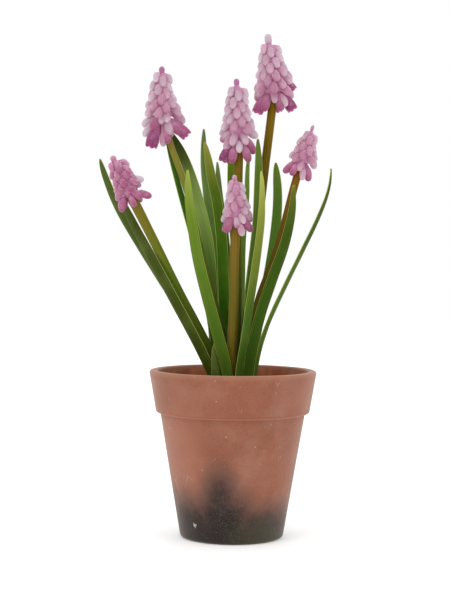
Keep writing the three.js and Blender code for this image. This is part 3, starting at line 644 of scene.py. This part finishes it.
# Stems and heads, left to right. Millimetres from the pot's axis; tones run foot to neck.
# A skirt floret is bearing, reach, height of its tip over the neck, width, droop and look.
# An outline is height over the neck, then the reach to the left and to the right.
stem = {
    "sides": 14, "rings": 36, "foot": 59, "taper": 0.06,
    # how much and how often the thickness varies
    "ripple": 0.035,
    "ripples": 9,
    "streaks": ("a48a34", "3a3c0c", "7a6a24"),
}
foot = stem["foot"]
# the first tone of each stem is darkened with painted shade, where it stands low in the pot
stalks = [
    {
        "name": "leftLow", "thickness": 4.4, "swell": 0.3,
        "route": ((-5.6, -0.3, foot), (-5.6, -0.3, 84), (-15.2, -0.8, 105), (-29.8, -2.5, 132),
                  (-43, -8.5, 158.5), (-54.4, -14, 181)),
        "tones": ("1a2606", "445008", "526a14", "74641e"), "top": (-65.2, -14, 202.9),
        "core": 3.6, "bud": (1.7, 3.2), "budTone": "rose", "blend": (1.3, 1.8),
        "outline": ((20, 3.8, 4.6), (17, 4.9, 5.8), (11, 5.9, 6.1), (4, 7, 7)),
        "span": (19, 3.5), "room": 17, "width": (3.2, 3.9), "length": (5.2, 6.2),
        "skirt": (
            (8, 10, 5.8, 4.4, 26, "pale"), (-8, 9.7, -4.4, 4.3, 44, "plum"),
            (196, 8.4, -5, 4.4, 62, "plum"), (-95, 5.2, -5.6, 3.6, 72, "plum"),
            (182, 7.6, 1.6, 3.8, 56, "rose"), (-50, 6.8, -3.6, 3.8, 62, "plum"),
            (60, 7, -4, 3.8, 60, "plum"), (105, 6.6, -4.6, 3.8, 62, "rose"),
            (150, 7.2, -3.6, 3.8, 60, "plum"),
        ),
    },
    {
        "name": "leftHigh", "thickness": 3.6,
        "route": ((-3.6, 5.2, foot), (-3.6, 5.2, 84), (-5.2, 5.6, 105), (-16.8, 8, 148.2),
                  (-26.2, 10.5, 186), (-34.4, 12, 209), (-38.9, 12, 223.5)),
        "tones": ("1c2806", "47540c", "5e7222", "8c7a34"), "top": (-40.4, 12, 253.7),
        "core": 4.4, "bud": (1.65, 4.2), "budTone": "bead", "blend": (0.12, 1.0),
        "outline": ((24.6, 5.4, 5), (17, 7.6, 4.9), (11, 8.4, 7), (5, 9.4, 8.6)),
        "span": (24.6, 4), "room": 22.5, "width": (3.8, 4.7), "length": (5.4, 7.6),
        "skirt": (
            (178, 12.2, -2, 4.9, 34, "pale"), (190, 11.6, -7.8, 4.8, 50, "pale"),
            (204, 8.2, -13.8, 6.4, 72, "deepOpen"), (8, 11.2, -1.4, 5.4, 50, "rose"),
            (0, 12.5, -8.4, 6.2, 46, "plumOpen"), (-24, 9.4, -7.6, 5, 52, "plum"),
            (-104, 5.6, -1.8, 3.9, 68, "blush"), (-70, 6.6, -1.2, 4.6, 62, "blush"),
            (-58, 7, -7.6, 4.6, 64, "blush"), (-100, 4.6, -14, 4.2, 78, "rose"),
            (-70, 5, -12.6, 4.4, 76, "plum"), (216, 8.4, -5.6, 5, 62, "plum"),
            (35, 10, -6, 4.8, 54, "plum"), (70, 9.4, -8, 4.8, 60, "rose"),
            (110, 9, -7, 4.8, 62, "plum"), (150, 10, -8, 4.8, 58, "plumOpen"),
        ),
    },
    {
        "name": "frontLow", "thickness": 5.4,
        "route": ((-0.9, -4.4, foot), (-0.9, -4.4, 84), (-0.8, -5.8, 100), (-0.1, -9, 124),
                  (0.1, -12, 150), (0.8, -13.4, 168)),
        "tones": ("38300a", "685914", "64591a", "79601c"), "top": (-0.3, -13.4, 193.4),
        "core": 3.6, "bud": (1.3, 3.4), "budTone": "rose", "blend": (0.6, 0.75),
        "outline": ((21, 4, 3.8), (16, 4.5, 5.6), (11, 5.6, 7.2), (5, 7, 7.8)),
        "span": (20.4, 4), "room": 18, "width": (3.2, 4), "length": (5.4, 6.4),
        "skirt": (
            (182, 7.4, 0.6, 4.2, 56, "blush"), (214, 6.6, -5.2, 4.8, 66, "plum"),
            (-84, 5.2, -3, 3.7, 68, "paleMouth"), (-60, 6.4, -7.2, 3.8, 68, "rose"),
            (-50, 6.6, -0.6, 3.9, 60, "blush"), (4, 8.6, 0.4, 4.4, 48, "paleMouth"),
            (-8, 8.4, -5, 4.4, 56, "plum"), (40, 7.6, -4, 4, 58, "rose"),
            (80, 7, -4.6, 4, 62, "plum"), (120, 7.2, -4, 4, 60, "rose"),
            (155, 7.4, -4.6, 4.2, 60, "plum"),
        ),
    },
    {
        "name": "middle", "thickness": 5.0,
        "route": ((2.2, 4.2, foot), (2.2, 4.2, 84), (1.9, 5.4, 130), (1.8, 6.6, 170),
                  (2, 7, 192), (2.3, 7, 211.8)),
        "tones": ("2c3606", "4e5a0c", "5c5c0e", "785c0e"), "top": (0.4, 7, 246.8),
        "core": 4.4, "bud": (1.6, 4.3), "budTone": "bead", "blend": (0.1, 0.95),
        "outline": ((28, 5.6, 5.6), (21, 6.8, 5.8), (15, 7.8, 7), (8, 9.6, 8.4)),
        "span": (28.2, 6), "room": 22.5, "width": (3.8, 4.7), "length": (5.4, 7.6),
        "skirt": (
            (188, 9.2, -9.8, 5.6, 66, "deepOpen"), (226, 6.8, -11.2, 4.8, 72, "plum"),
            (-50, 7.4, -11, 4.8, 70, "plum"), (-10, 8.2, -6.4, 5.2, 62, "plum"),
            (-92, 6.4, -5.6, 4, 64, "pale"), (238, 7.8, -1.6, 4.3, 58, "blush"),
            (-60, 7.8, -1.4, 4.3, 58, "blush"), (180, 10, 1, 5, 46, "paleMouth"),
            (2, 10.2, 2.4, 5, 40, "pale"), (200, 8.6, -3.4, 4.8, 58, "rose"),
            (30, 8.6, -5, 4.8, 60, "plum"), (68, 8.2, -8, 4.8, 64, "rose"),
            (108, 8, -7, 4.8, 66, "plum"), (146, 8.8, -6.4, 4.8, 60, "plum"),
        ),
    },
    {
        "name": "rightHigh", "thickness": 5.0,
        "route": ((5.4, 10, foot), (5.4, 10, 86), (8.3, 11.5, 126.7), (11.6, 13, 154),
                  (16.4, 15, 198), (19.5, 15.5, 225), (20.9, 15.5, 238.6)),
        "tones": ("222c05", "484808", "524a0a", "785c0c"), "top": (17.4, 15.5, 272.6),
        "core": 4.6, "bud": (2.1, 6.4), "budTone": "pale", "blend": (0.15, 1.2),
        "outline": ((26, 5.4, 5.8), (19, 6, 7.8), (12, 7.8, 10), (5, 8.8, 11)),
        "span": (26.2, 2), "room": 23, "width": (3.8, 4.8), "length": (5.4, 7.8),
        "skirt": (
            (184, 10, -8.8, 5.6, 62, "plumOpen"), (214, 7.6, -8.6, 5.2, 68, "plum"),
            (180, 9.4, -2.4, 5.2, 70, "paleMouth"), (2, 11.2, 1.6, 5.4, 50, "plumOpen"),
            (-6, 10.4, -2.8, 4.6, 60, "rose"), (-10, 10, -9, 5.6, 62, "deepOpen"),
            (-56, 6.4, -9.2, 4.8, 72, "plum"), (-88, 6.4, -4.6, 4.3, 66, "rose"),
            (-40, 8.2, -7, 4.4, 66, "blush"), (40, 9.4, -6.4, 5, 60, "plum"),
            (76, 8.8, -8, 5, 64, "plumOpen"), (112, 8.6, -7, 5, 64, "rose"),
            (146, 9.6, -8, 5, 60, "plum"),
        ),
    },
    {
        "name": "rightLow", "thickness": 4.6,
        "route": ((7.9, -2, foot), (7.9, -2, 86), (10, -2.5, 106), (13.6, -3, 127),
                  (21.4, -4, 148.6), (27.4, -4.5, 170), (31.3, -4.5, 186), (35.2, -4.5, 200.3)),
        "tones": ("262705", "4a3f09", "5c480a", "7b500d"), "top": (41.8, -4.5, 221),
        "core": 3.3, "bud": (1.0, 4), "budTone": "rose", "blend": (0.65, 1.1),
        "outline": ((16, 3.8, 4), (12, 4.8, 5), (7, 5.4, 6.8), (2, 6.6, 7.6)),
        "span": (15.6, 1.5), "room": 16, "width": (3.1, 3.8), "length": (5, 6.2),
        "skirt": (
            (181, 7.3, -7.6, 4.4, 60, "plum"), (232, 5.2, -8, 3.9, 70, "plum"),
            (0, 8.2, -0.6, 4.2, 56, "blush"), (-16, 7.2, -8, 4.3, 66, "plum"),
            (-54, 5.8, -8.6, 3.7, 70, "blush"), (-88, 4.8, -4.4, 3.7, 66, "rose"),
            (40, 6.8, -5.4, 3.9, 60, "rose"), (80, 6.4, -6.4, 3.9, 64, "plum"),
            (120, 6.4, -5.6, 3.9, 64, "rose"), (152, 6.8, -6, 3.9, 62, "plum"),
        ),
    },
]


def between(stops, along):
    # the colour at a share of the way along a row of them
    spot = clamp(along, 0, 1) * (len(stops) - 1)
    low = min(int(spot), len(stops) - 2)
    return blend(stops[low], stops[low + 1], spot - low)


def tint(piece, values):
    # keeps a colour for each point, which the finishes read
    colours = piece.data.color_attributes.new("tint", "FLOAT_COLOR", "POINT")
    colours.data.foreach_set("color", values)


def tintAlong(piece, codes):
    # colours a piece by how far along it each point is, while its z is still 0 to 1
    stops = [tone(code) for code in codes]
    tint(piece, [part for vertex in piece.data.vertices for part in between(stops, vertex.co.z)])


def stemFinish():
    skin = Finish("stemSkin", None, 0.45, 0.07)
    lengthwise = {"source": skin.flat, "stretch": (1, 0.05, 1)}
    streak = skin.cloud(26, 4, 0.6, **lengthwise)
    pale, dark, spots = stem["streaks"]
    skin.coat(streak, 0.5, 0.75, pale, 0.4)
    skin.coat(streak, 0.48, 0.3, dark, 0.45)
    skin.coat(skin.cloud(260, 4, 0.6), 0.5, 0.8, spots, 0.3)
    return skin.finished(skin.cloud(60, 3, **lengthwise), 0.00025, 0.6)


def makeStem(number, plan, finish):
    piece = added(
        bpy.ops.mesh.primitive_cylinder_add, vertices=stem["sides"], radius=1, depth=1,
        location=(0, 0, 0.5), end_fill_type="TRIFAN",
    )
    mode("EDIT")
    bpy.ops.mesh.select_mode(type="EDGE")
    bpy.ops.mesh.select_all(action="DESELECT")
    mode("OBJECT")
    for edge in piece.data.edges:
        heights = [piece.data.vertices[i].co.z for i in edge.vertices]
        edge.select = abs(heights[0] - heights[1]) > 0.5
    mode("EDIT")
    bpy.ops.mesh.subdivide(number_cuts=stem["rings"] - 1)
    mode("OBJECT")
    tintAlong(piece, plan["tones"])
    half = plan["thickness"] / 2 * mm
    for vertex in piece.data.vertices:
        along = vertex.co.z
        thin = half * (1 - stem["taper"] * along + plan.get("swell", 0) * along**2)
        uneven = noise.noise(Vector((number * 7.1, 0, along * stem["ripples"])))
        widen(vertex, thin * (1 + stem["ripple"] * uneven))
    bendAlong(piece, Route(plan["route"]))
    only(piece)
    bpy.ops.object.shade_smooth_by_angle(angle=math.radians(60))
    finishPiece(piece, f"{plan['name']}Stem", [f"stem_{number}"], [finish])


def makeStems():
    finish = stemFinish()
    for number, plan in enumerate(stalks, 1):
        makeStem(number, plan, finish)
    print("stems raised:", len(stalks))


# Leaves, left to right by their tips. Millimetres from the pot's axis. A leaf is its width,
# the bearings its hollow face looks to at foot and tip, its route, and tones foot to tip.
blade = {
    "columns": 8, "rows": 46, "thickness": 1.1, "edge": 0.65, "channel": 0.2, "tip": 0.7,
    # how blunt the tips are, and those of the leaves that differ
    "taper": 9,
    "tapers": {1: 14, 4: 11, 5: 6, 13: 6, 14: 14, 15: 6},
    "crowding": 1.5,
    # the width at the foot, and how fast it grows, for a width of 1
    "footWidth": 0.78,
    "widening": 0.7,
    # how flat the channel is, and how far its faces and its edges stray
    "flatness": 1.7,
    "waver": 0.12,
    "uneven": 0.05,
    "veins": ("98aa44", "1f3a0a"),
    "patches": "7d8c3c",
    "midrib": "2c4a10",
    "paintedEdgeHighlight": "a9b95c",
    "dryTip": "b8a677",
}
leaves = [
    (5, (30, 62), ((-10.2, 1.8, foot), (-11, 2, 82), (-23, 2.8, 112), (-38, 3, 135),
     (-51, 3.2, 155.6), (-63.2, 4, 176.5), (-70.6, 5, 194), (-73.4, 5.4, 202.4)),
     ("33470d", "3d4d16", "455520", "4c5a28")),
    (5.8, (70, 62), ((-10.6, -5.8, foot), (-10.7, -5.8, 84), (-15, -6.8, 95.4), (-36, -9.6, 134.7),
     (-54.5, -5, 168.2), (-61.2, -1.5, 181.5)),
     ("323d07", "354009", "3e4716", "404919")),
    (3.9, (290, 300), ((-9.4, 5.9, foot), (-9.4, 5.9, 86), (-10.6, 6.8, 102.5), (-12.3, 7.9, 113),
     (-19.4, 11.2, 148), (-28.6, 13.6, 181), (-35.2, 15.6, 204), (-37.8, 16.4, 213)),
     ("385410", "406213", "386014", "4a7620")),
    # this leaf's last tones are darkened with painted shade, from the head above its tip
    (6.6, (270, 282), ((-9.4, 9.6, foot), (-9.2, 9.8, 84), (-11.9, 13, 130), (-14.7, 15.4, 159),
     (-21, 19.8, 184), (-27.6, 23.6, 203), (-35.6, 27, 219)),
     ("2f4a0c", "3a5414", "455f1c", "587428", "6a8638", "8aa452",
      "7a924a", "46561e", "303f10", "34430e")),
    (6.2, (90, 80), ((-2.9, -9.4, foot), (-2.9, -9.4, 86), (-7.6, -11.4, 106), (-13.6, -14, 127),
     (-19, -16.6, 148.2), (-22, -18.4, 165), (-24.2, -20.4, 180), (-25, -22, 195.3)),
     ("36500a", "496614", "617c22", "98a244")),
    (5.4, (285, 300), ((-5.4, 13.4, foot), (-5.2, 14.2, 90), (-8.2, 19.6, 126.3),
     (-10.9, 22.4, 148), (-14.8, 25.4, 181), (-17, 27, 200), (-17.6, 28, 221)),
     ("40620f", "6a923a", "7a9652", "5c7a48")),
    (6.4, (268, 258), ((-2.4, 10.2, foot), (-2.4, 10.4, 88), (-5.1, 15.6, 126), (-6.7, 18, 159),
     (-9.6, 19.4, 181), (-12.3, 20.4, 192.2), (-16.6, 22, 213.5)),
     ("345805", "427208", "4a640c", "a2a244")),
    (5.2, (98, 98), ((-8.6, -8.4, foot), (-8.8, -8.4, 84), (-9.3, -8.5, 95), (-9.2, -8.7, 105.2)),
     ("2f3c10", "384618", "505d26", "667038")),
    (4.4, (300, 285), ((-0.4, 15.8, foot), (-0.6, 16, 90), (-3.2, 20, 142.8), (-5.6, 23, 167),
     (-8.2, 25.6, 184.3), (-9.8, 27, 202.6)),
     ("375810", "648440", "789650", "869a5c")),
    (5, (270, 266), ((5, 17.6, foot), (5, 18.6, 92), (1.6, 24.5, 142), (-1.2, 29, 181),
     (-1.8, 31, 198), (-1.4, 32, 222)),
     ("2f5208", "426a10", "5f7a14", "75821a")),
    (4.6, (322, 318), ((2.2, 12.8, foot), (2.4, 13.2, 90), (4.4, 16.8, 130), (4.9, 19.4, 160),
     (6.6, 22.6, 183), (6.9, 23.6, 198), (7.6, 24, 209.3)),
     ("42600f", "5c7c18", "648824", "78944a")),
    (5.4, (6, -95), ((6.2, 3.8, foot), (6.2, 3.8, 88), (7.6, 3.4, 131), (10, 2.2, 151),
     (12.1, 0.9, 171), (12.7, -0.4, 200), (12.2, -1, 213.6)),
     ("42580d", "486212", "4c681e", "546628")),
    (5.2, (128, 118), ((3.1, -10, foot), (3.1, -10, 86), (6.2, -11.4, 107), (9, -13.6, 128),
     (12, -16, 149.6), (14, -18, 168), (14.5, -19.4, 185), (14, -20.4, 195.2)),
     ("314b0a", "3d5c14", "7d8230", "b3b45e")),
    (5.6, (250, 262), ((10, 4.4, foot), (10, 4.4, 86), (14.2, 6.4, 118), (19.6, 9, 144.2),
     (23, 11, 169.3), (23.6, 12, 185), (22.4, 12.6, 201.7)),
     ("36580f", "4d7822", "4c7026", "687f24")),
    (6, (100, 100), ((8.3, -6.9, foot), (8.3, -6.9, 88), (13.8, -9.2, 117.7), (20.2, -11.6, 138),
     (26.8, -13.6, 157.6), (30.4, -14.4, 175), (31.2, -14.6, 188.4)),
     ("284103", "314d05", "32480a", "626a24")),
    (5, (150, 156), ((12.2, -1.6, foot), (12.2, -2.2, 88), (17.2, -5, 110.6), (26.5, -7.6, 132.6),
     (36.4, -9.6, 153.5), (46.4, -10.6, 175.4), (50.4, -11, 188), (51.5, -11, 197.4)),
     ("3a560a", "475f13", "3a4a16", "364516")),
]


def bladeWidth(number, width, along):
    swell = min(1, blade["footWidth"] + blade["widening"] * along)
    taper = blade["tapers"].get(number, blade["taper"])
    return max(blade["tip"], width * swell * math.sqrt(1 - along**taper))


def leafFinish():
    skin = Finish("leafSkin", None, 0.45, 0.07)
    lengthwise = skin.shift(skin.flat, stretch=(1, 0.03, 1))
    across = skin.work("ABSOLUTE", skin.work("SUBTRACT", skin.axis("X", skin.flat), 0.5))
    vein = skin.cloud(30, 4, 0.65, source=lengthwise, move=(0.4, 0.2, 0))
    pale, dark = blade["veins"]
    skin.coat(vein, 0.5, 0.75, pale, 0.25)
    skin.coat(vein, 0.48, 0.28, dark, 0.4)
    skin.coat(skin.cloud(70, 4, 0.6), 0.45, 0.75, blade["patches"], 0.15)
    skin.coat(across, 0.05, 0, blade["midrib"], 0.25)
    # painted highlight: a pale line along both edges of the blade
    skin.coat(across, 0.44, 0.48, blade["paintedEdgeHighlight"], 0.7)
    skin.coat(skin.axis("Y", skin.flat), 0.986, 1, blade["dryTip"], 0.7)
    fine = skin.cloud(70, 2, 0.5, source=lengthwise)
    return skin.finished(skin.work("ADD", fine, vein), 0.0002, 0.45)


def makeLeaf(number, width, faces, points, tones, finish):
    piece = added(
        bpy.ops.mesh.primitive_grid_add, x_subdivisions=blade["columns"],
        y_subdivisions=blade["rows"], size=1, location=(0, 0, 0.5), rotation=(math.pi / 2, 0, 0),
    )
    tintAlong(piece, tones)
    body = piece.vertex_groups.new(name="body")
    for vertex in piece.data.vertices:
        across, along = vertex.co.x, crowded(vertex.co.z, blade["crowding"])
        wide = bladeWidth(number, width, along)
        middle = 1 - abs(2 * across) ** blade["flatness"]
        keel = blade["channel"] * wide
        waver = blade["waver"] * noise.noise(Vector((number * 3.3, across * 2, along * 14)))
        uneven = 1 + blade["uneven"] * noise.noise(Vector((number, 0, along * 9)))
        vertex.co.x = across * wide * uneven * mm
        vertex.co.y = (blade["edge"] / 2 + middle * (blade["thickness"] / 2 - keel) + waver) * mm
        body.add([vertex.index], middle * clamp((1 - along) * 20, 0, 1), "REPLACE")
    bendAlong(piece, Route(points), faces, blade["crowding"])
    thick = piece.modifiers.new("thick", "SOLIDIFY")
    thick.thickness = blade["thickness"] * mm
    thick.offset = 0
    thick.vertex_group = "body"
    thick.thickness_vertex_group = blade["edge"] / blade["thickness"] * 0.8
    soft = piece.modifiers.new("soft", "SUBSURF")
    soft.levels = soft.render_levels = 1
    applyAll(piece)
    bpy.ops.object.shade_smooth()
    name = f"{number:02d}"
    finishPiece(piece, f"leafBlade{name}", [f"leaf_{name}"], [finish])


def makeLeaves():
    finish = leafFinish()
    for number, leaf in enumerate(leaves, 1):
        makeLeaf(number, *leaf, finish)
    print("leaves grown:", len(leaves))


# Florets. A form is rings of (radius for a width of 1, place along the bell from root to mouth).
forms = {
    "drop": ((0.2, -1), (0.3, 0), (0.42, 0.09), (0.47, 0.22), (0.49, 0.44), (0.47, 0.66),
             (0.39, 0.83), (0.25, 0.95), (0.02, 1)),
    "bell": ((0.2, -1), (0.25, 0), (0.31, 0.12), (0.4, 0.28), (0.51, 0.5), (0.56, 0.7),
             (0.54, 0.87), (0.49, 0.99), (0.42, 0.97), (0.4, 0.86), (0.3, 0.76), (0.02, 0.72)),
    "bead": ((0.24, -0.2), (0.28, 0), (0.4, 0.14), (0.5, 0.38), (0.5, 0.62), (0.41, 0.84),
             (0.24, 0.96), (0.02, 1)),
}
# a look is a form and its tones from root to mouth
petals = {
    "pale": ("drop", ("ae90a3", "a99fa7", "ada6ac", "b4aeb1")),
    "blush": ("drop", ("ae889d", "a6909c", "a8969f", "ada1a6")),
    "rose": ("drop", ("ac8098", "a27a8c", "a08291", "a99ba0")),
    "paleMouth": ("drop", ("b491a3", "ae9fa7", "a8919c", "844e70")),
    "plum": ("drop", ("a2728b", "8f5672", "7c405b")),
    "plumOpen": ("bell", ("ac7b9a", "8f547b", "78355c")),
    "deepOpen": ("bell", ("985e82", "723560", "5d1c44")),
    "bead": ("bead", ("946488", "8f6083", "88587d")),
}
floret = {
    "sides": 9,
    "bellSides": 18,
    # number, breadth and length of the lobes of an open mouth
    "lobes": (6, 0.06, 0.035),
    # degrees round the spiral from one to the next
    "turn": 137.5,
    # degrees below level at the top and the foot of a head, and how far they stray
    "droop": (80, 44),
    "swing": 8,
    # shares of the reach and of the room that each takes
    "reaches": (0.93, 1.06),
    "rooms": (0.8, 1.2),
    # how deep they sit in the core for a width of 1, and how far its foot is drawn in
    "sunk": 0.5,
    "pinch": 0.8,
    "coreSides": 16, "coreRings": 5,
    # shares of the core's radius that florets start at and are rooted at
    "inner": (0.3, 0.35),
    # how much further out the topmost ones stand
    "shoulder": 0.8,
    # lengths of the lowest ones, closed and open, at the usual width
    "closed": 8.2, "open": 9.4, "usual": 4.8,
    # how far the look strays, how much paler the florets on the left and right sides are as
    # painted rim light, and how much each brightens or darkens
    "flush": 0.2, "paintedSideLight": 0.8, "shade": 0.07,
    "heart": "a47892",
    "mottles": ("e2c9d6", "a04f86"),
    # painted light: a pink glow each floret gives off, standing in for light soaking from floret
    # to floret, pinkest in the gaps
    "glow": "c23078",
}


def makeForms():
    made = {}
    for name, rings in forms.items():
        piece = turnedPiece(rings, floret["bellSides" if name == "bell" else "sides"])
        weld(piece, 0.04)
        if name == "bell":
            lobes, wide, long = floret["lobes"]
            for vertex in piece.data.vertices:
                fold = math.cos(lobes * math.atan2(vertex.co.y, vertex.co.x))
                rim = clamp((vertex.co.z - 0.5) * 2, 0, 1)
                widen(vertex, 1 + wide * fold)
                vertex.co.z += long * rim * rim * fold
        made[name] = piece
    return made


def petalTones(look):
    return [tone(code) for code in petals[look][1]]


def placeFloret(form, root, start, end, width, stops, draw):
    # a copy of a form, its bell from start to end and its stalk reaching back to the root
    copy = twin(form)
    length = (end - start).length
    stalk = [vertex.index for vertex in copy.data.vertices if vertex.co.z < -0.1]
    bright = 1 + floret["shade"] * (draw.random() * 2 - 1)
    values = []
    for vertex in copy.data.vertices:
        values += [part * bright for part in between(stops, min(vertex.co.z, 0.999))]
        vertex.co.z = max(vertex.co.z, 0) * length
        widen(vertex, width)
    tint(copy, values)
    turn = (end - start).to_track_quat("Z", "Y").to_matrix().to_4x4()
    spin = Matrix.Rotation(draw.uniform(0, math.tau), 4, "Z")
    copy.data.transform(Matrix.Translation(start) @ turn @ spin)
    for index in stalk:
        copy.data.vertices[index].co += root - start
    return copy


def headReach(plan, bearing, height):
    # the outline's left and right reach at this height, shared out by the bearing
    stops = plan["outline"]
    for (upper, *first), (lower, *second) in zip(stops, stops[1:]):
        share = clamp((upper - height) / (upper - lower), 0, 1)
        left, right = blend(first, second, share)
        if height >= lower:
            break
    return (left + right) / 2 + (right - left) / 2 * math.cos(math.radians(bearing))


def headFlorets(plan, seed):
    # a spiral down the head, as the solids have it: each floret takes the same room
    following = numbersFrom(seed)
    top, low = plan["span"]
    height, bearing = top, 360 * next(following)
    while height > low:
        down = (top - height) / (top - low)
        width = lerp(*plan["width"], down)
        length = lerp(*plan["length"], down)
        middle = (headReach(plan, 90, height) - 0.4 * width) * math.tau
        reach = headReach(plan, bearing, height) * lerp(*floret["reaches"], next(following))
        reach += floret["shoulder"] * (1 - down) ** 2
        droop = lerp(*floret["droop"], down**0.7) + floret["swing"] * (2 * next(following) - 1)
        yield bearing % 360, reach, height, width, length, droop, down
        height -= plan["room"] / middle * lerp(*floret["rooms"], next(following))
        bearing += floret["turn"]


def petalFinish():
    skin = Finish("petalSkin", None, 0.55, 0.3, 0.35, "f0ecee")
    mottle = skin.cloud(420, 4, 0.6)
    light, deep = floret["mottles"]
    skin.coat(mottle, 0.5, 0.75, light, 0.16)
    skin.coat(mottle, 0.45, 0.25, deep, 0.2)
    skin.give({
        # painted light: every floret glows faintly pink, lifting the shade in the gaps
        "Emission Color": skin.mix(0.6, skin.colour, floret["glow"]),
        "Emission Strength": 0.2,
        "Subsurface Weight": 0.8,
        "Subsurface Radius": (1.0, 0.6, 0.8),
        "Subsurface Scale": 0.004,
    })
    return skin.finished(skin.cloud(900, 3), 0.0002, 0.5)


def headCore(plan, coreTop):
    # the middle that the florets sit in, upright
    top, low = plan["span"]
    budRadius = plan["bud"][0]
    profile = [(plan["thickness"] / 2 * 0.9, 0.2)]
    for step in range(floret["coreRings"]):
        share = step / (floret["coreRings"] - 1)
        level = lerp(low, top, share)
        radius = headReach(plan, 90, level) - floret["sunk"] * lerp(*plan["width"], 1 - share)
        profile.append((radius if step else radius * floret["pinch"], level))
    profile += [(budRadius * 0.75, coreTop - 0.4), (budRadius * 0.5, coreTop + 0.5)]
    core = turnedPiece([(r * mm, z * mm) for r, z in profile], floret["coreSides"])
    tint(core, tone(floret["heart"]) * len(core.data.vertices))
    return core


def makeHead(number, plan, made, finish):
    draw = random.Random(number)
    neck = Vector(plan["route"][-1]) * mm + potAxis
    up = Vector(plan["top"]) * mm + potAxis - neck
    headHeight = up.length / mm
    up.normalize()
    right = Vector((0, 1, 0)).cross(up).normalized()
    back = up.cross(right)
    budRadius, budLength = plan["bud"]
    coreTop = headHeight - budLength + 1
    innermost, rooted = [share * plan["core"] for share in floret["inner"]]
    core = headCore(plan, coreTop)
    stand = Matrix((right, back, up)).transposed().to_4x4()
    core.data.transform(Matrix.Translation(neck) @ stand)

    def hang(bearing, reach, tip, width, length, droop, form, stops):
        spread, fall = math.radians(bearing), math.radians(droop)
        outward = right * math.cos(spread) + back * math.sin(spread)
        end = neck + (outward * reach + up * tip) * mm
        startReach = max(reach - length * math.cos(fall), innermost)
        start = neck + (outward * startReach + up * (tip + length * math.sin(fall))) * mm
        level = clamp(tip + length * math.sin(fall) + 0.6, 2, coreTop)
        root = neck + (outward * rooted + up * level) * mm
        return placeFloret(made[form], root, start, end, width * mm, stops, draw)

    florets = [core]
    shades = [petalTones(look) for look in ("pale", "rose", "plum")]
    for bearing, reach, height, width, length, droop, down in headFlorets(plan, 10 + number):
        share = lerp(*plan["blend"], down) + floret["flush"] * (draw.random() * 2 - 1)
        # painted rim light: florets facing left and right are paler, those facing front and back
        # rosier
        share += floret["paintedSideLight"] * (abs(math.sin(math.radians(bearing))) - 0.6)
        share = clamp(share, 0, 1.99)
        pair = zip(shades[int(share)], shades[int(share) + 1])
        stops = [blend(p, q, share % 1) for p, q in pair]
        fall = math.radians(droop)
        tipReach = reach - width / 2 * math.sin(fall) + length / 2 * math.cos(fall)
        tip = height - length / 2 * math.sin(fall)
        florets.append(hang(bearing, tipReach, tip, width, length, droop, "drop", stops))
    for bearing, reach, tip, width, droop, look in plan["skirt"]:
        form = petals[look][0]
        length = floret["open" if form == "bell" else "closed"] * width / floret["usual"]
        florets.append(hang(bearing, reach, tip, width, length, droop, form, petalTones(look)))
    start = neck + up * (coreTop - 1) * mm
    top = neck + up * headHeight * mm
    stops = petalTones(plan["budTone"])
    florets.append(placeFloret(made["bead"], start, start, top, 2 * budRadius * mm, stops, draw))
    only(*florets)
    bpy.ops.object.join()
    bpy.ops.object.shade_smooth()
    finishPiece(core, f"{plan['name']}Head", [f"head_{number}"], [finish])


def makeHeads():
    made = makeForms()
    finish = petalFinish()
    for number, plan in enumerate(stalks, 1):
        makeHead(number, plan, made, finish)
        print("head", number, "set")
    for form in made.values():
        bpy.data.objects.remove(form)


makeCamera()
makeStudio()
makePot()
makeSoil()
dressBulbs()
makeStems()
makeLeaves()
makeHeads()
